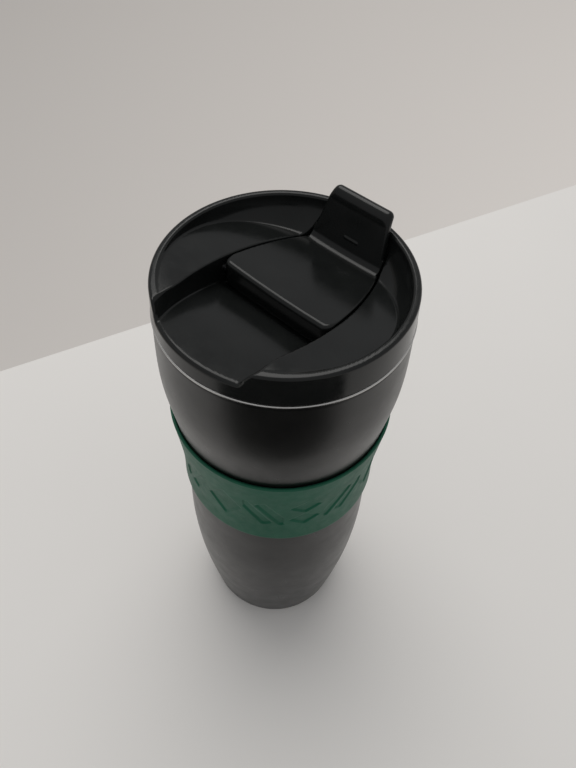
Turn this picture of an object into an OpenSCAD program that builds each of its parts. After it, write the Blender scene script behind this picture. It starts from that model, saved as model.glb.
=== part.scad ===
// Insulated travel mug: a double-walled steel body with a silicone grip band and a press-in lid.
// A flap with a thumb tab closes the drink hole and folds forward over a scoop in the lid.
// Origin: centre of the base where the mug stands. +Z is up, the thumb tab is on the +Y side
// and the notch that the opened flap hooks over is on the -Y side.

/* [Body] */
// Height of the steel body, from the table to the top of its bright lip
body_h = 198; // [194:0.5:202]
// Outer radii of the body at even steps from the base to the lip
body_radii = [32.4, 35.4, 37.5, 38.2, 37.3, 36.4, 37.9, 40.2, 39.2]; // [32:0.1:41]
// Sheet thickness of the outer shell and of the liner
steel_t = 0.8; // [0.6:0.05:0.9]
// Distance from the outside of the body to the inside of the cup
double_wall = 4.3; // [4:0.1:4.8]
// Inner radius of the mouth that takes the lid
mouth_r = 37; // [36.9:0.05:37.3]
// Height of the bright steel lip
lip_h = 0.6; // [0.4:0.1:0.8]

/* [Grip band] */
// Height of the band's lower edge
band_z0 = 109.2; // [100:0.5:112]
// Height of the band's upper edge
band_z1 = 151.3; // [148:0.5:156]
// Thickness of the band
band_t = 1.4; // [1:0.1:1.8]

/* [Lid] */
// Height of the lid's rim above the lip of the body
lid_rise = 10.6; // [10.4:0.1:11.4]
// Outer radius of the lid at its rim
rim_r = 38.5; // [38.3:0.1:38.8]
// Outer radius of the lid where it meets the body
skirt_r = 39.2; // [39:0.1:39.5]
// Inner radius of the bowl at the rim
bowl_r = 36; // [35.6:0.1:36.2]
// Depth of the deck below the rim, at the lid's axis
deck_drop = 6.2; // [6:0.1:6.5]
// Fall of the deck toward the thumb tab, in degrees
deck_tilt = 10.8; // [10:0.1:11]
// Radius of the dished deck
dish_r = 280; // [240:10:400]
// Radius of the part that plugs into the mouth
plug_r = 35.6; // [35.2:0.1:35.8]
// Depth of the drink hole's floor below the rim
floor_drop = 14.6; // [14.4:0.1:14.8]

/* [Flap] */
// Half width of the recess that holds the flap
recess_w = 21; // [20.6:0.1:21.4]
// Radius of the recess's bulging sides, seen from above
side_r = 85; // [80:1:90]
// Gap between the flap and the sides of its recess
flap_gap = 0.6; // [0.5:0.05:0.8]
// Lean of the thumb tab, in degrees from vertical
tab_lean = 18; // [16:0.5:19]
// Length of the thumb tab's plate, from the deck to the middle of its bead
tab_l = 17.4; // [16:0.1:18]
// Half width of the thumb tab at its foot
tab_w = 13.9; // [13:0.1:14]
// Radius of the hinge pins
pin_r = 1.25; // [1:0.05:1.4]
// Radius of the drink hole
drink_r = 6.2; // [5.8:0.1:6.4]

/* [Hidden] */
$fn = 96;
eps = 0.01;
rim_z = body_h + lid_rise;
skirt_drop = lid_rise - 0.1;            // the skirt stops 0.1 above the lip
base_lift = 0.6;                        // steel starts here, the pad stands on the table
base_round = 1.5;
wall_steps = 48;
liner_floor = 11;
liner_corner = 12;
shoulder_z0 = body_h - 28;              // the cup widens to the mouth over this stretch
shoulder_z1 = body_h - 21;
vacuum_gap = double_wall - steel_t;     // outside of the body to the outside of the liner
band_gap = 0.12;                        // keeps the band clear of the shell's outline

bowl_round = 12;                        // the bowl's wall curves in over this depth
rim_round = 0.9;
cover_drop = floor_drop + 2.8;          // underside of the cover, below the rim
insert_drop = cover_drop + 9.6;         // underside of the insert, below the rim
groove_drop = cover_drop + 2.1;
groove_h = 4;
groove_r = 33.6;
skin = 1.8;                             // plastic left under the deck and the scoop
cavity_r = 33.4;

hinge_u = 3.2;                          // hinge axis: toward the notch, and below the rim
hinge_drop = 9.6;
trough_r = 5.1;
flap_front = 5.6;
flap_rear = -27.8;                      // foot of the tab, where it meets the flap's top
flap_drop = floor_drop - 1;             // underside of the flap
nose_drop = 5.2;                        // top of the flap's rounded front edge
recess_uc = 5;                          // widest place of the recess
scoop_u0 = 9.3;                         // the scoop's floor rises between these two places,
scoop_u1 = 35.7;                        // level at both
scoop_drop0 = 11;
scoop_drop1 = 4.2;
ease = 1.3;                             // slope between the trough and the scoop
tab_t = 2.1;
tab_gap = 0.5;
bead_r = 1.7;
tab_top_w = 11.3;
slot_w = 14.3;
foot_drop = deck_drop - flap_rear * tan(deck_tilt);
drink_u = -20;
vent_u = -14.5;
vent_x = 12;
vent_r = 0.9;

// ---- outline of the body ----

// Radius number i of body_radii, carried on in a straight line past both ends
function station(i) =
    let (n = len(body_radii) - 1)
    i < 0 ? 2 * body_radii[0] - body_radii[1]
    : i > n ? 2 * body_radii[n] - body_radii[n - 1]
    : body_radii[i];

function catmull(a, b, c, d, t) =
    b + 0.5 * t * (c - a + t * (2 * a - 5 * b + 4 * c - d + t * (3 * (b - c) + d - a)));

// Outer radius of the body at height z, a smooth curve through body_radii
function body_r(z) =
    let (n = len(body_radii) - 1, s = n * z / body_h, i = max(0, min(n - 1, floor(s))))
    catmull(station(i - 1), station(i), station(i + 1), station(i + 2), s - i);

function smooth(t) = let (k = max(0, min(1, t))) k * k * (3 - 2 * k);

// Inner radius of the cup at height z
function cup_r(z) =
    let (k = smooth((z - shoulder_z0) / (shoulder_z1 - shoulder_z0)))
    (1 - k) * (body_r(z) - double_wall) + k * mouth_r;

function arc(centre, r, a0, a1, steps = 6) =
    [for (i = [0:steps]) centre + r * [cos(a0 + (a1 - a0) * i / steps), sin(a0 + (a1 - a0) * i / steps)]];

function levels(z0, z1, steps = wall_steps) = [for (i = [0:steps]) z0 + (z1 - z0) * i / steps];

function backward(points) = [for (i = [len(points) - 1:-1:0]) points[i]];

// A stretch of the body's outline, moved in by inset
function outline(z0, z1, inset) = [for (z = levels(z0, z1)) [body_r(z) - inset, z]];

// The cup's outline with its rounded floor, grown by grow
function cup_outline(z1, grow) =
    let (z0 = liner_floor + liner_corner, r0 = cup_r(z0))
    concat([[0, liner_floor - grow]],
           arc([r0 - liner_corner, z0], liner_corner + grow, -90, 0),
           [for (z = levels(z0 + 2, z1)) [cup_r(z) + grow, z]]);

// ---- body ----

module outer_shell() color("#17171a") {
    z0 = base_lift + base_round;
    z1 = body_h - lip_h;
    edge = arc([body_r(z0) - base_round, z0], base_round, -90, 0);
    rotate_extrude() polygon(concat([[body_r(z0) - base_round, base_lift + steel_t]], edge,
        outline(z0 + 1, z1, 0), backward(outline(z0 + 1, z1, steel_t))));
}

module outer_bottom() color("#8d9094") {
    r = body_r(4) - steel_t - 0.1;
    z0 = base_lift + steel_t;
    rotate_extrude() polygon([[0, 3], [r - 1.8, 3], [r - 1.8, z0], [r - 1, z0],
        [r - 1, 3], [r, 4.4], [r, 5.2], [r - 0.9, 3.9], [0, 3.9]]);
}

module inner_liner() color("#c3c6c9") {
    z1 = body_h - lip_h;
    lip_r = skirt_r + 0.35;
    inside = cup_outline(body_h, 0);
    outside = cup_outline(z1, steel_t);
    rotate_extrude() polygon(concat(inside, [[lip_r - 0.6, body_h], [lip_r - 0.15, body_h - 0.08],
        [lip_r, body_h - 0.22], [lip_r, z1]], backward(outside)));
}

// Copper foil wrapped round the liner, inside the vacuum
module liner_foil() color("#b87333") {
    z0 = 30;
    z1 = shoulder_z0 - 4;
    rotate_extrude() polygon(concat(outline(z0, z1, vacuum_gap - 0.1),
        backward(outline(z0, z1, vacuum_gap - 0.3))));
}

// Pellet that keeps the vacuum, on the bottom plate
module getter() color("#5f6266") translate([0, 0, 3.9]) cylinder(r = 7, h = 3);

module base_pad() color("#202022") {
    r = body_r(0) - steel_t - 2.6;
    rotate_extrude() polygon(concat([[0, 0.6], [r - 12, 0.6], [r - 12.6, 0]],
        arc([r - 0.8, 0.8], 0.8, -90, 0), [[r, 2.95], [0, 2.95]]));
}

module grip_band() color("#14634a") {
    round = (band_t - band_gap) / 2;
    r0 = body_r(band_z0) + band_gap + round;
    r1 = body_r(band_z1) + band_gap + round;
    rotate_extrude() polygon(concat(
        arc([r0, band_z0 + round], round, -180, 0, 8),
        outline(band_z0 + 2, band_z1 - 2, -band_t),
        arc([r1, band_z1 - round], round, 0, 180, 8),
        backward(outline(band_z0 + 2, band_z1 - 2, -band_gap))));
}

// ---- shapes that the lid and the flap share; heights are below the rim ----

// Extrudes an outline in (distance toward the notch, height) across the lid
module across(w) rotate([90, 0, -90]) linear_extrude(w, center = true) children();

module below_rim() translate([0, 0, rim_z]) children();

// Everything above the tilted, slightly dished deck
module above_deck()
    translate([0, 0, -deck_drop]) rotate([-deck_tilt, 0, 0]) translate([0, 0, dish_r])
        rotate([90, 0, 0]) cylinder(r = dish_r, h = 140, center = true, $fn = 720);

// Barrel shape of half width w between two wide arcs, seen from above
module barrel_2d(w) intersection() {
    translate([w - side_r, -recess_uc]) circle(side_r, $fn = 360);
    translate([side_r - w, -recess_uc]) circle(side_r, $fn = 360);
}

module barrel(w) translate([0, 0, -40]) linear_extrude(60) barrel_2d(w);

function scoop_z(u) =
    (scoop_drop0 - scoop_drop1) * smooth((u - scoop_u0) / (scoop_u1 - scoop_u0)) - scoop_drop0;

// Everything above the scoop's S-shaped floor, lowered by grow
module scoop_2d(grow = 0)
    polygon(concat([[53, 6], [hinge_u, 6], [hinge_u, -scoop_drop0 - ease - grow],
        [scoop_u0 - 1.4 * ease, -scoop_drop0 - ease - grow]],
        [for (u = levels(scoop_u0, scoop_u1, 24)) [u, scoop_z(u) - grow]],
        [[53, -scoop_drop1 - grow]]));

// Back wall of the flap's pocket at a height above the rim
function pocket_rear(h) = flap_rear - tab_t / cos(tab_lean) - tab_gap - (h + foot_drop) * tan(tab_lean);

// Moves a shape from the tab's own upright frame to its place on the flap
module tab_place() translate([0, -flap_rear, -foot_drop]) rotate([-tab_lean, 0, 0]) children();

// ---- lid ----

module lid_blank() {
    rotate_extrude() {
        polygon([[0, -cover_drop], [plug_r - 0.8, -cover_drop], [plug_r, 0.8 - cover_drop],
            [plug_r, -skirt_drop], [skirt_r - 0.4, -skirt_drop], [skirt_r, 0.4 - skirt_drop],
            [rim_r, -rim_round], [rim_r - rim_round, 0], [0, 0]]);
        translate([rim_r - rim_round, -rim_round]) circle(rim_round, $fn = 48);
    }
}

module bowl_2d() {
    translate([0, -bowl_round]) square([bowl_r - bowl_round, bowl_round + 2]);
    intersection() {
        translate([bowl_r - bowl_round, 0]) circle(bowl_round);
        translate([0, -bowl_round]) square([bowl_r, bowl_round]);
    }
    square([bowl_r, 2]);
    difference() {
        translate([bowl_r - eps, -rim_round]) square([rim_round, rim_round + 2]);
        translate([bowl_r + rim_round, -rim_round]) circle(rim_round, $fn = 48);
    }
}

module bowl() intersection() {
    rotate_extrude() bowl_2d();
    above_deck();
}

// Flat floor under the flap, round trough for its front edge, then the scoop up to the notch
module recess_2d() {
    polygon([[hinge_u, -floor_drop], [hinge_u, 6], [pocket_rear(6), 6],
        [pocket_rear(-floor_drop), -floor_drop]]);
    translate([hinge_u, -hinge_drop]) circle(trough_r);
    scoop_2d();
}

module recess() {
    intersection() {
        barrel(recess_w);
        across(60) recess_2d();
    }
    intersection() {
        across(60) polygon([[-24, -floor_drop], [-24, 6], [pocket_rear(6), 6],
            [pocket_rear(-floor_drop), -floor_drop]]);
        tab_place() rotate([90, 0, 0]) linear_extrude(60, center = true)
            polygon([[-slot_w, -20], [slot_w, -20], [slot_w, 2], [slot_w - 4.4, 22],
                [4.4 - slot_w, 22], [-slot_w, 2]]);
    }
}

// Hollows that keep the cover's walls even: beside the recess and under the scoop
module under_cavities() {
    difference() {
        translate([0, 0, -cover_drop - 1]) cylinder(r = cavity_r, h = cover_drop);
        translate([0, 0, -skin]) above_deck();
        barrel(recess_w + 2.2);
        translate([-50, 24, -40]) cube([100, 50, 60]);
    }
    intersection() {
        translate([0, 0, -cover_drop - 1]) cylinder(r = cavity_r, h = cover_drop);
        barrel(recess_w - 1);
        across(60) difference() {
            translate([scoop_u0 + 2, -cover_drop - 1]) square([40, cover_drop]);
            scoop_2d(skin);
        }
    }
}

module lid_cover() color("#1b1b1e") below_rim() difference() {
    lid_blank();
    bowl();
    recess();
    under_cavities();
    for (side = [-1, 1])
        translate([side * (recess_w + 1), -hinge_u, -hinge_drop]) rotate([0, 90, 0])
            cylinder(r = pin_r + eps, h = 6, center = true, $fn = 32);
    translate([0, -drink_u, -cover_drop - 1]) cylinder(r = drink_r, h = 5);
    translate([0, -drink_u, -floor_drop - 1]) cylinder(r1 = drink_r, r2 = drink_r + 1.1, h = 1.1);
    translate([vent_x, -vent_u, -cover_drop - 1]) cylinder(r = vent_r, h = 5, $fn = 24);
}

// Closes the cover from below and carries the gasket
module lid_insert() color("#232326") below_rim() difference() {
    union() {
        rotate_extrude() polygon([[0, -insert_drop], [plug_r - 1.2, -insert_drop],
            [plug_r - 0.2, 1 - insert_drop], [plug_r - 0.2, -groove_drop - groove_h],
            [groove_r, -groove_drop - groove_h], [groove_r, -groove_drop],
            [plug_r - 0.2, -groove_drop], [plug_r - 0.2, -cover_drop],
            [groove_r - skin, -cover_drop], [groove_r - skin, 1.6 - insert_drop],
            [0, 1.6 - insert_drop]]);
        translate([0, -drink_u, -insert_drop])
            cylinder(r = drink_r + 1.6, h = insert_drop - cover_drop);
        translate([vent_x, -vent_u, -insert_drop])
            cylinder(r = vent_r + 1.3, h = insert_drop - cover_drop, $fn = 24);
    }
    translate([0, -drink_u, -insert_drop - 1]) cylinder(r = drink_r, h = 20);
    translate([vent_x, -vent_u, -insert_drop - 1]) cylinder(r = vent_r, h = 20, $fn = 24);
}

// Silicone ring with two lips that press on the mouth
module lid_gasket() color("#3a3a3d") below_rim() {
    lip = mouth_r - 0.3;
    root = plug_r - 0.2;
    z0 = 0.1 - groove_drop - groove_h;
    z1 = -groove_drop - 0.1;
    middle = (z0 + z1) / 2;
    rotate_extrude() polygon([[groove_r, z0], [root, z0], [lip, z0 + 0.5], [lip, z0 + 0.9],
        [root, z0 + 1.2], [root, middle + 0.4], [lip, middle + 0.7], [lip, middle + 1.1],
        [root, z1], [groove_r, z1]]);
}

// Two stub pins, pressed into the cover and running in the flap
module hinge_pins() color("#b9bcc0") below_rim()
    for (side = [-1, 1])
        translate([side * (recess_w - 3), -hinge_u, -hinge_drop]) rotate([0, 90, 0])
            cylinder(r = pin_r, h = 10, center = true, $fn = 32);

// ---- flap ----

module flap_plan_2d() {
    w = recess_w - flap_gap;
    corner = 2.5;
    intersection() {
        barrel_2d(w);
        union() {
            translate([-50, corner - flap_front]) square([100, 60]);
            translate([corner - w, -flap_front]) square([2 * (w - corner), 60]);
            for (side = [-1, 1])
                translate([side * (w - corner), corner - flap_front]) circle(corner, $fn = 48);
        }
    }
}

// Side view of the flap: flat underside, rear end just inside the tab's outer face
module flap_side_2d() {
    r = 1.7;
    nose = arc([flap_front - r, -nose_drop - r], r, 0, 90);
    rear = pocket_rear(-flap_drop) + tab_gap + 0.25;
    foot = pocket_rear(-foot_drop) + tab_gap + 0.25;
    polygon(concat([[flap_front, 0.6 - flap_drop], [flap_front - 0.6, -flap_drop], [rear, -flap_drop],
        [foot, -foot_drop], [flap_rear, -foot_drop + 2], [flap_front - 5, -foot_drop + 9]],
        backward(nose)));
}

// Rounded inner corner between the flap's top and the tab
module tab_fillet_2d(r = 2.5) {
    corner = [flap_rear, -foot_drop];
    along = [cos(deck_tilt), sin(deck_tilt)];
    up = [-sin(tab_lean), cos(tab_lean)];
    half = (90 + tab_lean - deck_tilt) / 2;
    middle = (along + up) / norm(along + up);
    difference() {
        polygon([corner - middle, corner + along * r / tan(half), corner + up * r / tan(half)]);
        translate(corner + middle * r / sin(half)) circle(r, $fn = 48);
    }
}

module thumb_tab() {
    w = tab_top_w - bead_r + 0.6;
    tab_place() {
        rotate([90, 0, 0]) translate([0, 0, -tab_t]) linear_extrude(tab_t)
            polygon([[-tab_w, -1.5], [tab_w, -1.5], [tab_w, 0], [tab_top_w, tab_l - 2],
                [w, tab_l], [-w, tab_l], [-tab_top_w, tab_l - 2], [-tab_w, 0]]);
        translate([0, bead_r, tab_l]) rotate([0, 90, 0])
            cylinder(r = bead_r, h = 2 * w - 2 * bead_r, center = true, $fn = 48);
        for (side = [-1, 1])
            translate([side * (w - bead_r), bead_r, tab_l]) sphere(bead_r, $fn = 48);
    }
    across(2 * tab_w - 0.8) tab_fillet_2d();
}

module flap() color("#1d1d20") below_rim() difference() {
    union() {
        difference() {
            intersection() {
                translate([0, 0, -40]) linear_extrude(60) flap_plan_2d();
                across(60) flap_side_2d();
            }
            above_deck();
        }
        thumb_tab();
    }
    translate([0, -hinge_u, -hinge_drop]) rotate([0, 90, 0])
        cylinder(r = pin_r + 0.05, h = 60, center = true, $fn = 32);
    translate([-16, 1, -flap_drop - 1]) cube([32, 10, 4]);
    translate([0, -drink_u, -flap_drop - 1]) cylinder(r = 2 + eps, h = 2.4, $fn = 32);
}

// Silicone plug under the flap, with a stem that holds it in
module drink_seal() color("#4a4a4d") below_rim() translate([0, -drink_u, -flap_drop])
    rotate_extrude() polygon([[0, -3], [drink_r - 2, -3], [drink_r - 0.6, -0.9],
        [drink_r + 1.8, -0.9], [drink_r + 1.8, 0], [2, 0], [2, 1.3], [0, 1.3]]);

module vent_seal() color("#4a4a4d") below_rim() translate([vent_x, -vent_u, -flap_drop]) {
    translate([0, 0, -0.9]) cylinder(r = 2.6, h = 0.9, $fn = 32);
    translate([0, 0, -1.5]) cylinder(r1 = 0.3, r2 = 0.6, h = 0.6 + eps, $fn = 24);
}

outer_shell();
outer_bottom();
inner_liner();
liner_foil();
getter();
base_pad();
grip_band();
lid_cover();
lid_insert();
lid_gasket();
hinge_pins();
flap();
drink_seal();
vent_seal();
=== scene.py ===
import math

import bpy
import numpy as np
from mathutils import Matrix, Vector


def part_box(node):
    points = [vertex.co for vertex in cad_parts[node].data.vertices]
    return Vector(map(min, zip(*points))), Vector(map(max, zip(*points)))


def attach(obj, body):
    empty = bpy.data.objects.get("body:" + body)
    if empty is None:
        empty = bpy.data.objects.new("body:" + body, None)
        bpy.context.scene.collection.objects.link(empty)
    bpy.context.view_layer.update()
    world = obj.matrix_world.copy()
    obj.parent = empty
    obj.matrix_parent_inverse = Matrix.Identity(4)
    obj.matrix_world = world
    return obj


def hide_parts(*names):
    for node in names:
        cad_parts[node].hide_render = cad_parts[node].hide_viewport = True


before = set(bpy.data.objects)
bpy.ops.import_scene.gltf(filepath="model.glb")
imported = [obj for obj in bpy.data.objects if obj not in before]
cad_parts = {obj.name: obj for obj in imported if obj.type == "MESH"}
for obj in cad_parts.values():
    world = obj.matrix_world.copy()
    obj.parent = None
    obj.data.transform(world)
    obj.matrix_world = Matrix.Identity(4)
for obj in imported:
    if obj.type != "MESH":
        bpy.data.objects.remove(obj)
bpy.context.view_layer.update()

import openvdb
from mathutils import Matrix, Vector

MM = 0.001


def box_mm(node):
    low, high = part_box(node)
    return np.array(low) / MM, np.array(high) / MM


RIM = box_mm("lid_cover")[1][2]          # top of the lid's rim
LIP = box_mm("inner_liner")[1][2]        # top of the bright steel lip
BAND0, BAND1 = box_mm("grip_band")[0][2], box_mm("grip_band")[1][2]
SHELL0, SHELL1 = box_mm("outer_shell")[0][2], box_mm("outer_shell")[1][2]

# ---------------------------------------------------------------- outline of the body

RADII = [32.4, 35.4, 37.5, 38.2, 37.3, 36.4, 37.9, 40.2, 39.2]


def body_r(z):
    """Outer radius of the steel body at height z, in mm, the same smooth curve as the CAD's."""
    r = [2 * RADII[0] - RADII[1]] + RADII + [2 * RADII[-1] - RADII[-2]]
    s = (len(RADII) - 1) * z / LIP
    i = max(0, min(len(RADII) - 2, math.floor(s)))
    t = s - i
    a, b, c, d = r[i : i + 4]
    return b + 0.5 * t * (c - a + t * (2 * a - 5 * b + 4 * c - d + t * (3 * (b - c) + d - a)))


def smooth01(t):
    t = np.clip(t, 0, 1)
    return t * t * (3 - 2 * t)


def arc(cx, cz, r, a0, a1, n=10):
    t = np.radians(np.linspace(a0, a1, n))
    return [(cx + r * math.cos(a), cz + r * math.sin(a)) for a in t]


# ---------------------------------------------------------------- mesh helpers


def make_mesh(name, points, faces, normals=None, sharp=None):
    """A mesh object from points in mm. faces is a list of index arrays, one per corner count."""
    me = bpy.data.meshes.new(name)
    me.vertices.add(len(points))
    me.vertices.foreach_set("co", (np.asarray(points, float) * MM).astype(np.float32).ravel())
    corners = np.concatenate([f.ravel() for f in faces]).astype(np.int32)
    counts = np.concatenate([np.full(len(f), f.shape[1]) for f in faces])
    starts = np.concatenate([[0], np.cumsum(counts)[:-1]]).astype(np.int32)
    me.loops.add(len(corners))
    me.loops.foreach_set("vertex_index", corners)
    me.polygons.add(len(counts))
    me.polygons.foreach_set("loop_start", starts)
    me.update(calc_edges=True)
    me.validate()
    me.shade_smooth()
    if sharp:
        me.set_sharp_from_angle(angle=math.radians(sharp))
    if normals is not None:
        me.normals_split_custom_set_from_vertices([tuple(n) for n in normals.tolist()])
    ob = bpy.data.objects.new(name, me)
    bpy.context.scene.collection.objects.link(ob)
    return ob


def lathe(name, outline, sides, sharp=35, shape=None):
    """Turns a closed outline of (radius, height) in mm about Z. The outline goes up on its outer side.
    shape(angle, radius, height, row) may move the rows of points in or out."""
    p = np.array(outline, float)
    a = np.linspace(0, 2 * math.pi, sides, endpoint=False)
    index, points, base = [], [], 0
    for i, (r, z) in enumerate(p):
        if r < 1e-6:
            points.append([[0, 0, z]])
            index.append(np.full(sides, base))
            base += 1
        else:
            rr = np.full(sides, r) if shape is None else r + shape(a, r, z, i)
            points.append(np.stack([rr * np.cos(a), rr * np.sin(a), np.full(sides, z)], 1))
            index.append(np.arange(sides) + base)
            base += sides
    quads, tris = [], []
    for i in range(len(p)):
        lo, hi = index[i], index[(i + 1) % len(p)]
        flat_lo, flat_hi = lo[0] == lo[1], hi[0] == hi[1]
        if flat_lo and flat_hi:
            continue
        if flat_lo:
            tris.append(np.stack([lo, np.roll(hi, -1), hi], 1))
        elif flat_hi:
            tris.append(np.stack([lo, np.roll(lo, -1), hi], 1))
        else:
            quads.append(np.stack([lo, np.roll(lo, -1), np.roll(hi, -1), hi], 1))
    faces = [np.concatenate(f) for f in (quads, tris) if f]
    points = np.concatenate([np.asarray(q, float) for q in points])
    return make_mesh(name, points, faces, sharp=sharp)


def carve(name, solid, low, high, step):
    """The surface where solid(x, y, z) is zero, in mm below the rim, as an even mesh.
    Each point is then moved onto that surface and takes its true normal."""
    low = np.array(low, float)
    axes = [low[k] + step * np.arange(int((high[k] - low[k]) / step) + 2) for k in range(3)]
    x, y, z = np.meshgrid(*axes, indexing="ij")
    field = solid(x, y, z).astype(np.float32)
    grid = openvdb.FloatGrid(3.0)
    grid.copyFromArray(np.clip(field, -3, 3))
    found, quads = grid.convertToQuads(0.0)
    p = np.asarray(found, float) * step + low

    def slope(p, h=0.01):
        g = np.empty_like(p)
        for k in range(3):
            e = np.zeros(3)
            e[k] = h
            g[:, k] = (solid(*(p + e).T) - solid(*(p - e).T)) / (2 * h)
        return g

    for _ in range(4):
        d, g = solid(*p.T), slope(p)
        move = -(d / np.maximum((g * g).sum(1), 0.2))[:, None] * g
        size = np.linalg.norm(move, axis=1, keepdims=True)
        p = p + move * np.minimum(1, 0.35 * step / np.maximum(size, 1e-9))
    n = slope(p)
    n /= np.maximum(np.linalg.norm(n, axis=1, keepdims=True), 1e-9)
    quads = np.asarray(quads, np.int64)
    face = np.cross(p[quads[:, 1]] - p[quads[:, 0]], p[quads[:, 2]] - p[quads[:, 0]])
    if (face * n[quads[:, 0]]).sum() < 0:
        quads = quads[:, ::-1]
    return make_mesh(name, p + [0, 0, RIM], [quads], normals=n)


def both(a, b, r):
    """Where two solids overlap, with the edge between them rounded."""
    corner = np.hypot(np.maximum(r + a, 0), np.maximum(r + b, 0))
    return np.minimum(-r, np.maximum(a, b)) + corner


def join(a, b, r):
    """Two solids together, with a fillet between them."""
    corner = np.hypot(np.maximum(r - a, 0), np.maximum(r - b, 0))
    return np.maximum(r, np.minimum(a, b)) - corner


def cut(a, b, r):
    """The first solid less the second, with the edge between them rounded."""
    return both(a, -b, r)


# ---------------------------------------------------------------- shapes of the lid
# In mm. z is 0 at the rim, and -y points toward the notch. A drop is a depth below the rim.

TILT = math.radians(10.8)                # slope of the deck
LEAN = math.radians(18)                  # of the thumb tab, backward
DECK, FLOOR, FLAP0, COVER = 6.2, 14.6, 13.6, 17.4    # drops: deck, recess floor, flap, lid's plug
REAR, TAB_T, TAB_L = 27.8, 2.1, 17.4     # the tab's place, thickness and length
FOOT = DECK + REAR * math.tan(TILT)      # drop of the tab's foot
HINGE_U, HINGE_DROP = 3.2, 9.6
RECESS_W, FLAP_W, SLOT_W = 21, 20.4, 14.3            # half widths
TROUGH_R = 5.1                           # takes the flap's front edge as it turns
SKIRT_R, SKIRT_COS, SKIRT_SIN, SKIRT_DROP = 38.5, 0.99712, 0.07587, 0.9
PLUG_R, BOWL_R, BOWL_ROUND = 35.6, 24, 12
DRINK_Y, DRINK_R = 20, 6.2
VENT_X, VENT_Y, VENT_R = 12, 14.5, 0.9
NOTCH_U, NOTCH_DROP = 38.5, 4.2
TAB_HALF, TAB_TAPER = 13.95, 0.163
BEAD_R, BEAD_HALF, BEAD_OUT = 1.95, 9.0, 1.9


def above_deck(x, y, z):
    """The air over the deck, which is dished with a 280 mm radius."""
    w = y * math.sin(TILT) + (z + DECK) * math.cos(TILT)
    return np.hypot(x, w - 280) - 280


def barrel(x, y, w):
    """The flap's outline from above: two bowed sides, w from the middle at their widest."""
    return np.hypot(np.abs(x) + 85 - w, y + 5) - 85


def behind(y, z, gap):
    """Past the outer face of the leaning tab, moved back by gap."""
    back = y - REAR - TAB_T / math.cos(LEAN) - gap - (z + FOOT) * math.tan(LEAN)
    return back * math.cos(LEAN)


# the scoop's floor: its slope at these distances toward the notch, and its height there
SCOOP_U = np.array([3.0, 15, 20, 25, 30, 35, 41])
SCOOP_S = np.array([0.33, 0.30, 0.33, 0.29, 0.22, 0.18, 0.17])
SCOOP_Z = np.concatenate([[0], np.cumsum(np.diff(SCOOP_U) * (SCOOP_S[1:] + SCOOP_S[:-1]) / 2)])
SCOOP_Z += -NOTCH_DROP - np.interp(NOTCH_U, SCOOP_U, SCOOP_Z)


def scoop(y, z):
    i = np.clip(np.searchsorted(SCOOP_U, -y, side="right") - 1, 0, len(SCOOP_U) - 2)
    d = -y - SCOOP_U[i]
    rate = (SCOOP_S[i + 1] - SCOOP_S[i]) / (SCOOP_U[i + 1] - SCOOP_U[i])
    floor = SCOOP_Z[i] + SCOOP_S[i] * d + rate * d * d / 2
    slope = SCOOP_S[i] + rate * d
    return np.maximum((floor - z) / np.sqrt(1 + slope * slope), y + HINGE_U)


def cover_solid(x, y, z):
    rho = np.hypot(x, y)
    side = (rho - SKIRT_R) * SKIRT_COS + (z + SKIRT_DROP) * SKIRT_SIN
    flange = both(both(side, z, 0.9), -(RIM - LIP - 0.1) - z, 0.4)
    plug = both(np.maximum(rho - PLUG_R, z + 5), -COVER - z, 0.8)
    blank = np.minimum(flange, plug)
    wall = np.hypot(rho - BOWL_R, np.minimum(z, 0)) - BOWL_ROUND
    wall = np.where(rho > BOWL_R, wall, -BOWL_ROUND - z)
    bowl = both(wall, above_deck(x, y, z), 0.5)
    floor = -FLOOR - z
    under_flap = np.maximum(np.maximum(floor, -y - 7), behind(y, z, 0.5))
    trough = np.hypot(y + HINGE_U, z + HINGE_DROP) - TROUGH_R
    under = join(join(under_flap, trough, 0.3), scoop(y, z), 0.5)
    # the notch's ends lean outward
    draft = 0.5 * np.clip(z + 4.4, 0, 5) * smooth01((-y - 22) / 12)
    recess = both(barrel(x, y, RECESS_W + draft), under, 0.7)
    up = (y - REAR) * math.sin(LEAN) + (z + FOOT) * math.cos(LEAN)
    slot = np.maximum(np.maximum(24 - y, floor), behind(y, z, 0.5))
    slot = both(np.abs(x) - SLOT_W + 0.22 * np.maximum(up - 2, 0), slot, 0.5)
    air = join(join(bowl, recess, 0.45), slot, 0.4)
    # edges are rounder at the foot of the notch
    soft = 0.9 + 0.5 * smooth01((-2.5 - z) / 1.5) * smooth01((-y - 28) / 4)
    solid = cut(blank, air, soft)
    solid = cut(solid, np.hypot(x, y - DRINK_Y) - DRINK_R, 0.9)
    return cut(solid, np.hypot(x - VENT_X, y - VENT_Y) - VENT_R, 0.3)


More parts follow.
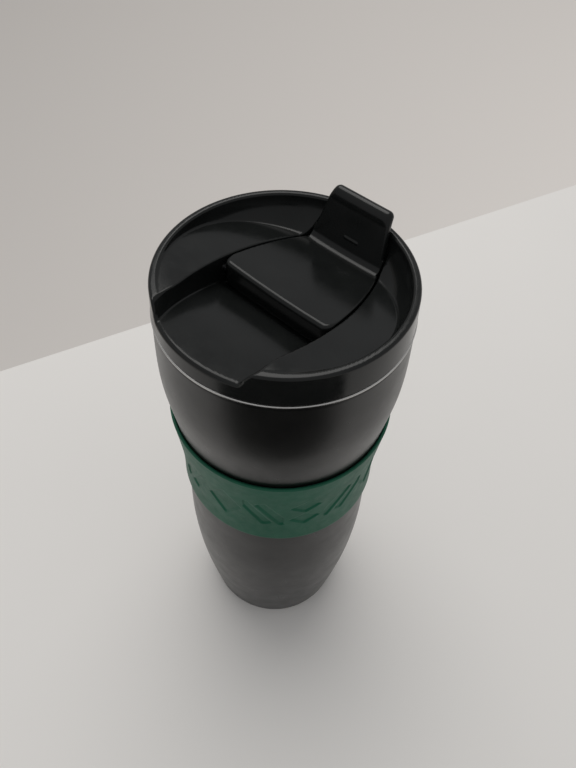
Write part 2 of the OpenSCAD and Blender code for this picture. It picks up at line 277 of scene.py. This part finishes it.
def flap_solid(x, y, z):
    top = -above_deck(x, y, z)
    soft = 0.4 + 1.4 * smooth01((-y - 0.6) / 4.2)        # the front edge is the roundest
    plan = both(barrel(x, y, FLAP_W), -5.6 - y, 2.5)
    plan = np.maximum(plan, behind(y, z, -0.25))
    body = both(both(plan, -FLAP0 - z, 0.6), top, soft)
    # out and up are measured across and along the leaning tab
    dy, dz = y - REAR, z + FOOT
    out = dy * math.cos(LEAN) - dz * math.sin(LEAN)
    up = dy * math.sin(LEAN) + dz * math.cos(LEAN)
    half = TAB_HALF - TAB_TAPER * up
    slab = both(np.abs(out - TAB_T / 2) - TAB_T / 2, (np.abs(x) - half) * 0.983, 0.7)
    plate = np.maximum(both(slab, up - TAB_L, 2.4), -1.5 - up)
    bead = np.hypot(np.maximum(np.abs(x) - BEAD_HALF, 0), out - BEAD_OUT)
    bead = np.hypot(bead, up - TAB_L + 0.2) - BEAD_R
    tab = join(plate, bead, 1.4)
    inner = join(-above_deck(x, y, z), -out, 2.4)
    patch = np.maximum(np.maximum(out - 1.2, -5 - out), np.maximum(up - 5, -1 - up))
    foot = both(np.maximum(inner, patch), np.abs(x) - 13.75, 0.4)
    solid = np.minimum(np.minimum(body, tab), foot)
    # a small raised mark on the tab's inner face, and a hollow in the underside
    mark = np.hypot(np.hypot(np.maximum(np.abs(x - 0.8) - 2.3, 0), out - 0.15), up - 5.7) - 0.4
    solid = join(solid, mark, 0.25)
    hollow = np.maximum(np.maximum(np.abs(x) - 16, np.abs(y - 6) - 5), z + FLAP0 - 3)
    return cut(solid, hollow, 0.4)


# ---------------------------------------------------------------- materials


class Material:
    """A node material being built."""

    def __init__(self, name):
        self.m = bpy.data.materials.new(name)
        self.m.use_nodes = True
        self.t = self.m.node_tree
        self.bsdf = self.t.nodes["Principled BSDF"]
        self.where = self.t.nodes.new("ShaderNodeTexCoord").outputs["Object"]

    def fixed(self, **values):
        for key, value in values.items():
            self.bsdf.inputs[key.replace("_", " ")].default_value = value
        return self

    def stretched(self, scale):
        n = self.t.nodes.new("ShaderNodeMapping")
        n.inputs["Scale"].default_value = scale
        self.t.links.new(self.where, n.inputs["Vector"])
        return n.outputs["Vector"]

    def noise(self, size_mm, detail=3.0, rough=0.5, vector=None):
        n = self.t.nodes.new("ShaderNodeTexNoise")
        n.inputs["Scale"].default_value = 1000.0 / size_mm
        n.inputs["Detail"].default_value = detail
        n.inputs["Roughness"].default_value = rough
        self.t.links.new(vector or self.where, n.inputs["Vector"])
        return n.outputs["Fac"]

    def spots(self, size_mm):
        n = self.t.nodes.new("ShaderNodeTexVoronoi")
        n.feature = "F1"
        n.inputs["Scale"].default_value = 1000.0 / size_mm
        self.t.links.new(self.where, n.inputs["Vector"])
        return n.outputs["Distance"]

    def ramp(self, source, stops):
        n = self.t.nodes.new("ShaderNodeValToRGB")
        els = n.color_ramp.elements
        while len(els) < len(stops):
            els.new(0.5)
        for el, (at, value) in zip(els, stops):
            el.position = at
            el.color = (*value, 1) if isinstance(value, tuple) else (value, value, value, 1)
        self.t.links.new(source, n.inputs["Fac"])
        return n.outputs["Color"]

    def tones(self, source, low, high):
        return self.ramp(source, [(0.3, low), (0.7, high)])

    def math(self, op, a, b):
        n = self.t.nodes.new("ShaderNodeMath")
        n.operation = op
        for socket, value in zip(n.inputs, (a, b)):
            if isinstance(value, (int, float)):
                socket.default_value = value
            else:
                self.t.links.new(value, socket)
        return n.outputs[0]

    def drive(self, socket, source):
        self.t.links.new(source, self.bsdf.inputs[socket])
        return self

    def bump(self, height, distance_mm, strength=1.0):
        n = self.t.nodes.new("ShaderNodeBump")
        n.inputs["Strength"].default_value = strength
        n.inputs["Distance"].default_value = distance_mm * MM
        last = self.bsdf.inputs["Normal"].links
        if last:
            self.t.links.new(last[0].from_socket, n.inputs["Normal"])
        self.t.links.new(height, n.inputs["Height"])
        self.t.links.new(n.outputs["Normal"], self.bsdf.inputs["Normal"])
        return self


def paint():
    m = Material("black_paint").fixed(IOR=1.43)
    dark, light = (0.0036, 0.0037, 0.0035), (0.0058, 0.0058, 0.0055)
    m.drive("Base Color", m.tones(m.noise(22, 4), dark, light))
    m.drive("Roughness", m.tones(m.noise(9, 6, 0.62), 0.27, 0.35))
    m.bump(m.noise(1.3, 2), 0.012, 0.5)
    return m.m


def gloss_plastic(name, tone=1.0, rough=(0.13, 0.22)):
    m = Material(name).fixed(IOR=1.35)
    dark = tuple(c * tone for c in (0.0068, 0.0076, 0.0074))
    light = tuple(c * tone for c in (0.0098, 0.0107, 0.0104))
    m.drive("Base Color", m.tones(m.noise(14, 4), dark, light))
    broad = m.math("MULTIPLY", m.noise(7, 5, 0.6), 0.7)
    smudge = m.math("ADD", broad, m.math("MULTIPLY", m.noise(1.1, 3), 0.3))
    m.drive("Roughness", m.ramp(smudge, [(0.35, rough[0]), (0.62, rough[1])]))
    m.bump(m.noise(0.9, 2), 0.004, 0.5)
    return m.m


def steel(name, colour=(0.62, 0.61, 0.595), rough=(0.16, 0.3), across=(1, 1, 60)):
    m = Material(name).fixed(Metallic=1.0)
    lines = m.noise(9, 6, 0.7, m.stretched(across))
    shade = tuple(c * 0.86 for c in colour)
    m.drive("Base Color", m.tones(lines, shade, colour))
    m.drive("Roughness", m.tones(lines, *rough))
    m.bump(lines, 0.006, 0.6)
    return m.m


def silicone(name, dark, light, rough=(0.44, 0.58), grain=0.35):
    m = Material(name).fixed(IOR=1.36, Sheen_Weight=0.03, Sheen_Roughness=0.5)
    m.drive("Base Color", m.tones(m.noise(12, 5, 0.6), dark, light))
    m.drive("Roughness", m.tones(m.noise(3.5, 5, 0.65), *rough))
    m.bump(m.noise(grain, 2), 0.01, 0.6)
    return m.m


def foil():
    m = Material("copper_foil").fixed(Metallic=1.0)
    creases = m.spots(9)
    m.drive("Base Color", m.tones(m.noise(10, 4), (0.62, 0.27, 0.13), (0.8, 0.4, 0.22)))
    m.drive("Roughness", m.tones(m.noise(4, 4), 0.2, 0.4))
    m.bump(creases, 0.25, 0.7)
    return m.m


def pellet():
    m = Material("getter_metal").fixed(Metallic=0.8)
    m.drive("Base Color", m.tones(m.noise(1.2, 4), (0.1, 0.1, 0.105), (0.2, 0.2, 0.21)))
    m.drive("Roughness", m.tones(m.noise(2, 3), 0.5, 0.75))
    m.bump(m.noise(0.5, 3), 0.05)
    return m.m


PAINT = paint()
LID = gloss_plastic("lid_plastic")
FLAP = gloss_plastic("flap_plastic", 0.95)
INSERT = gloss_plastic("insert_plastic", 1.25, (0.3, 0.42))
LIP_STEEL = steel("bare_steel")
PIN = steel("pin_steel", (0.55, 0.55, 0.56), (0.2, 0.34), (60, 1, 1))
GREEN = silicone("green_silicone", (0.0055, 0.092, 0.05), (0.008, 0.114, 0.063))
RUBBER = silicone("foot_rubber", (0.012, 0.012, 0.0125), (0.022, 0.022, 0.023), (0.6, 0.8), 0.6)
SEAL = silicone("seal_silicone", (0.05, 0.05, 0.053), (0.075, 0.075, 0.078))
FOIL, GETTER = foil(), pellet()


def finish_piece(ob, material, body, slot, *nodes):
    ob.data.materials.clear()
    ob.data.materials.append(material)
    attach(ob, body)
    if nodes:
        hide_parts(*nodes)
    return ob


def dress(node, material, bevel_mm=0.0):
    """Gives a carried-over CAD node its material, and small rounded edges."""
    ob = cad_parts[node]
    ob.data.materials.clear()
    ob.data.materials.append(material)
    if bevel_mm:
        weld = ob.modifiers.new("weld", "WELD")
        weld.merge_threshold = 0.00001
        bevel = ob.modifiers.new("edges", "BEVEL")
        bevel.width = bevel_mm * MM
        bevel.segments = 2
        bevel.limit_method = "ANGLE"
        bevel.angle_limit = math.radians(40)
    return ob


# ---------------------------------------------------------------- steel body

STEEL_T = 0.8
foot_r, top_r = body_r(SHELL0 + 1.5), body_r(SHELL1)
heights = np.linspace(SHELL0 + 2.4, SHELL1 - 0.25, 150)
rows = [body_r(z) for z in heights]
outline = [(foot_r - 2.6, SHELL0 + 0.75), (foot_r - 2.3, SHELL0 + 0.15), (foot_r - 1.9, SHELL0)]
outline += arc(foot_r - 1.5, SHELL0 + 1.5, 1.5, -90, -4, 10)
outline += [(r, z) for r, z in zip(rows, heights)]
outline += [(top_r - 0.1, SHELL1 - 0.06), (top_r - 0.3, SHELL1), (top_r - STEEL_T, SHELL1)]
outline += [(r - STEEL_T, z) for r, z in zip(rows[::-1][3:-1:3], heights[::-1][3:-1:3])]
shell = lathe("shell_skin", outline, 288)
finish_piece(shell, PAINT, "cup", "black_paint", "outer_shell")

# the liner: mouth, shoulder and rounded floor, with the turned-out lip
LINER_FLOOR, CORNER, WALL, MOUTH_R = 11, 12, 4.3, 37


def cup_r(z):
    k = float(smooth01((z - (LIP - 28)) / 7))
    return (1 - k) * (body_r(z) - WALL) + k * MOUTH_R


inside_z = np.linspace(LINER_FLOOR + CORNER + 2, LIP - 1.0, 110)
inner0 = cup_r(LINER_FLOOR + CORNER)
lip_out = box_mm("inner_liner")[1][0]    # it stands a little past the lid's skirt
cup = [(0, LINER_FLOOR - STEEL_T), (inner0 - CORNER - 4, LINER_FLOOR - STEEL_T)]
cup += arc(inner0 - CORNER, LINER_FLOOR + CORNER, CORNER + STEEL_T, -90, 0, 14)
cup += [(cup_r(z) + STEEL_T, z) for z in inside_z[::3]]
cup += [(37.8, LIP - 0.6), (lip_out - 0.2, LIP - 0.6)]
cup += [(lip_out - 0.08, LIP - 0.5), (lip_out - 0.08, LIP - 0.26)]
cup += [(lip_out - 0.11, LIP - 0.17), (lip_out - 0.18, LIP - 0.1), (lip_out - 0.6, LIP - 0.02)]
cup += [(lip_out - 0.9, LIP), (37.5, LIP)] + arc(37.5, LIP - 0.5, 0.5, 90, 180, 7)[1:]
cup += [(cup_r(z), z) for z in inside_z[::-1]]
cup += arc(inner0 - CORNER, LINER_FLOOR + CORNER, CORNER, 0, -90, 22)
# a shallow pressed step in the cup's floor
cup += [(r, LINER_FLOOR + h) for r, h in ((16, 0), (15.6, 0.35), (15.2, 0.5), (6, 0.5), (0, 0.5))]
liner = lathe("liner_skin", cup, 288, 40)
finish_piece(liner, LIP_STEEL, "cup", "bare_steel", "inner_liner")

# ---------------------------------------------------------------- grip band, with a generic pattern

BAND_T, BAND_GAP = 1.4, 0.12             # thickness, and clearance from the steel
CELLS, SUNK = 16, 0.5                    # marks round the band, and their depth


def bar(u, v, cu, cv, hu, hv, turn, r=0.9):
    """Signed distance to a rounded bar, in mm along the band and up it."""
    c, s = math.cos(math.radians(turn)), math.sin(math.radians(turn))
    du, dv = (u - cu) * c + (v - cv) * s, -(u - cu) * s + (v - cv) * c
    qu, qv = np.abs(du) - hu + r, np.abs(dv) - hv + r
    return np.hypot(np.maximum(qu, 0), np.maximum(qv, 0)) + np.minimum(np.maximum(qu, qv), 0) - r


def lozenge(u, v, cu, cv, hu, hv):
    return (np.abs(u - cu) / hu + np.abs(v - cv) / hv - 1) * hu * hv / math.hypot(hu, hv)


def motif(u, v, kind):
    """One of four abstract marks, about 12 mm wide and 18 mm high, centred at 0, 0."""
    if kind == 0:
        return lozenge(u, v, 0, 0, 6.4, 9.4)
    if kind == 2:
        return np.minimum(lozenge(u, v, 0, 4.9, 5.4, 4.2), lozenge(u, v, 0, -4.9, 5.4, 4.2))
    lean = -30 if kind == 1 else 30
    return np.minimum(bar(u, v, -3.2, 0, 1.9, 9.0, lean), bar(u, v, 3.2, 0, 1.9, 9.0, lean))


def band_shape(a, r, z, i):
    """Sinks the marks into the band's outer face, and leaves its edges and inner face alone."""
    out = np.zeros_like(a)
    if not BAND0 + 3 < z < BAND1 - 3 or r < body_r(z) + BAND_T / 2:
        return out
    mid = (BAND0 + BAND1) / 2 - 0.5
    pitch = 2 * math.pi / CELLS
    cell = np.floor(a / pitch)
    u = (a - (cell + 0.5) * pitch) * r
    v = z - mid
    for kind in range(4):
        d = motif(-u, v, kind)
        sunk = SUNK * (1 - smooth01((d + 0.35) / 0.7))
        out = np.where(cell % 4 == kind, -sunk, out)
    return out


half_t = (BAND_T - BAND_GAP) / 2
b0, b1 = body_r(BAND0) + BAND_GAP + half_t, body_r(BAND1) + BAND_GAP + half_t
outer_z = np.linspace(BAND0 + 1.1, BAND1 - 1.1, 112)
band_line = arc(b0, BAND0 + half_t, half_t, -180, -12, 9)
band_line += [(body_r(z) + BAND_T, z) for z in outer_z]
band_line += arc(b1, BAND1 - half_t, half_t, 12, 180, 10)
band_line += [(body_r(z) + BAND_GAP, z) for z in np.linspace(BAND1 - 2, BAND0 + 2, 24)]
band = lathe("band_skin", band_line, 624, 50, band_shape)
finish_piece(band, GREEN, "cup", "green_silicone", "grip_band")

# ---------------------------------------------------------------- base pad with moulded rings

PAD0, PAD1, pad_r = box_mm("base_pad")[0][2], box_mm("base_pad")[1][2], box_mm("base_pad")[1][0]
pad = [(0, PAD0 + 0.6), (pad_r - 12.8, PAD0 + 0.6), (pad_r - 12.3, PAD0 + 0.12), (pad_r - 12, PAD0)]
groove = ((-0.5, 0), (-0.35, 0.3), (0, 0.4), (0.35, 0.3), (0.5, 0))
for inward in (9.5, 7.0, 4.5):
    pad += [(pad_r - inward + r, PAD0 + h) for r, h in groove]
pad += arc(pad_r - 0.8, PAD0 + 0.8, 0.8, -90, 0, 7)
pad += [(pad_r, PAD1), (0, PAD1)]
finish_piece(lathe("pad_skin", pad, 192), RUBBER, "cup", "foot_rubber", "base_pad")

# ---------------------------------------------------------------- lid and flap

cover = carve("cover_skin", cover_solid, (-40.4, -40.4, -18.6), (40.4, 40.4, 1.2), 0.46)
finish_piece(cover, LID, "lid", "lid_plastic", "lid_cover")
flap = carve("flap_skin", flap_solid, (-22, -7, -15), (22, 40, 8.5), 0.32)
finish_piece(flap, FLAP, "flap", "flap_plastic", "flap")

# ---------------------------------------------------------------- CAD nodes that stay as they are

dress("outer_bottom", LIP_STEEL)
dress("liner_foil", FOIL)
dress("getter", GETTER, 0.3)
dress("lid_insert", INSERT, 0.25)
dress("lid_gasket", SEAL, 0.15)
dress("hinge_pins", PIN, 0.12)
dress("drink_seal", SEAL, 0.2)
dress("vent_seal", SEAL, 0.1)

# ---------------------------------------------------------------- floor, backdrop and light


def stage_material(name, colour, rough, painted_light_ramp=None):
    """Plain paint. The optional last argument gives a direction, and its offset, along which a painted
    light gradient makes the colour darker.
    """
    m = Material(name).fixed(Roughness=rough, Specular_IOR_Level=0.0)
    low = tuple(c * 0.985 for c in colour)
    if painted_light_ramp is None:
        m.drive("Base Color", m.ramp(m.noise(180, 3), [(0.35, low), (0.65, colour)]))
        return m.m
    n = m.t.nodes.new("ShaderNodeVectorMath")
    n.operation = "DOT_PRODUCT"
    n.inputs[1].default_value = painted_light_ramp[0]
    m.t.links.new(m.where, n.inputs[0])
    tone = m.math("MULTIPLY_ADD", n.outputs["Value"], -1.0)
    tone.node.inputs[2].default_value = painted_light_ramp[1]
    # painted light: the colour ramps from dim to bright along that direction, standing in for uneven
    # light on the backdrop
    dim, bright = tuple(c * 0.9 for c in colour), tuple(c * 1.8 for c in colour)
    m.drive("Base Color", m.ramp(tone, [(0.0, dim), (1.0, bright)]))
    return m.m


def sheet_of(name, corners, material):
    me = bpy.data.meshes.new(name)
    me.from_pydata([tuple(c) for c in corners], [], [tuple(range(len(corners)))])
    ob = bpy.data.objects.new(name, me)
    ob.data.materials.append(material)
    bpy.context.scene.collection.objects.link(ob)
    return ob


# the backdrop is the same sheet folded up at a gentle slope, a hand's width behind the mug
away = Vector((math.cos(math.radians(158.6)), math.sin(math.radians(158.6)), 0))
along = Vector((-away.y, away.x, 0))
fold, slope = 0.193, math.radians(24)
near, far = away * fold - along * 4, away * fold + along * 4
rise = (away * math.cos(slope) + Vector((0, 0, math.sin(slope)))) * 1.6
floor_paint = stage_material("floor_white", (0.86, 0.84, 0.815), 0.5)
sheet_of("floor", [near, far, far - away * 6, near - away * 6], floor_paint)
climb = rise.normalized()
painted_light_ramp = (along * 0.5 + climb * 1.4) / 0.9    # painted light: brighter toward the right and toward the floor, standing in for bounce light off the floor
level = (1.45 - 0.9) / 0.9 + painted_light_ramp.dot(away * fold)
# the backdrop's colour carries a painted light gradient
sheet_of("backdrop", [near, near + rise, far + rise, far],
         stage_material("backdrop_painted_light", (0.51, 0.485, 0.463), 0.6, (painted_light_ramp, level)))

# painted shade: a black card flat on the floor, under the camera and out of its view, that the dark
# paint reflects; it stands in for the shade under the camera
front = Vector((math.cos(math.radians(-49.5)), math.sin(math.radians(-49.5)), 0))
beside = Vector((-front.y, front.x, 0))
card = [front * d + beside * w + Vector((0, 0, 0.001)) for d, w in
        ((0.112, -0.07), (0.16, -0.2), (0.7, -0.3), (0.7, 0.3), (0.16, 0.2), (0.112, 0.07))]
painted_shade_flag = sheet_of("painted_shade_flag", card, stage_material("painted_shade_flag_black", (0.02, 0.02, 0.02), 0.8))
# the painted shade is seen only in reflections: it is hidden from the camera, from diffuse light and
# from shadows
painted_shade_flag.visible_camera = painted_shade_flag.visible_diffuse = painted_shade_flag.visible_shadow = False


def softbox(name, where, aim, size, power, colour=(1, 1, 1)):
    data = bpy.data.lights.new(name, "AREA")
    data.shape, data.size, data.energy, data.color = "DISK", size, power, colour
    ob = bpy.data.objects.new(name, data)
    ob.location = where
    ob.rotation_mode = "QUATERNION"
    ob.rotation_quaternion = (Vector(aim) - Vector(where)).to_track_quat("-Z", "Y")
    bpy.context.scene.collection.objects.link(ob)
    return ob


world = bpy.data.worlds.new("studio")
bpy.context.scene.world = world
world.use_nodes = True
world.node_tree.nodes["Background"].inputs["Color"].default_value = (0.985, 0.99, 1.0, 1)
world.node_tree.nodes["Background"].inputs["Strength"].default_value = 0.42


def aim_from(azimuth, elevation, distance):
    a, e = math.radians(azimuth), math.radians(elevation)
    return Vector((math.cos(a) * math.cos(e), math.sin(a) * math.cos(e), math.sin(e))) * distance


softbox("key", aim_from(141, 69, 1.5), (0, 0, 0.1), 1.15, 9.2, (1, 0.985, 0.96))

# ---------------------------------------------------------------- camera, at the photograph's angle

EYE = (0.0824, -0.0965, 0.3250)
turn = Matrix.Rotation(math.radians(40.5), 3, "Z")
down, yaw, roll = 0.9274993, 0.0184414, 0.0551798        # radians
look = Vector((math.sin(yaw) * math.cos(down), math.cos(yaw) * math.cos(down), -math.sin(down)))
side = look.cross(Vector((0, 0, 1))).normalized()
top = side.cross(look)
right = turn @ (side * math.cos(roll) + top * math.sin(roll))
upward = turn @ (top * math.cos(roll) - side * math.sin(roll))
look = turn @ look
camera = bpy.data.cameras.new("camera")
camera.lens, camera.sensor_width = 28.125, 36
camera.clip_start, camera.clip_end = 0.01, 20
eye = bpy.data.objects.new("camera", camera)
bpy.context.scene.collection.objects.link(eye)
eye.matrix_world = Matrix((
    (right.x, upward.x, -look.x, EYE[0]),
    (right.y, upward.y, -look.y, EYE[1]),
    (right.z, upward.z, -look.z, EYE[2]),
    (0, 0, 0, 1),
))
bpy.context.scene.camera = eye
bpy.context.scene.view_settings.view_transform = "Standard"
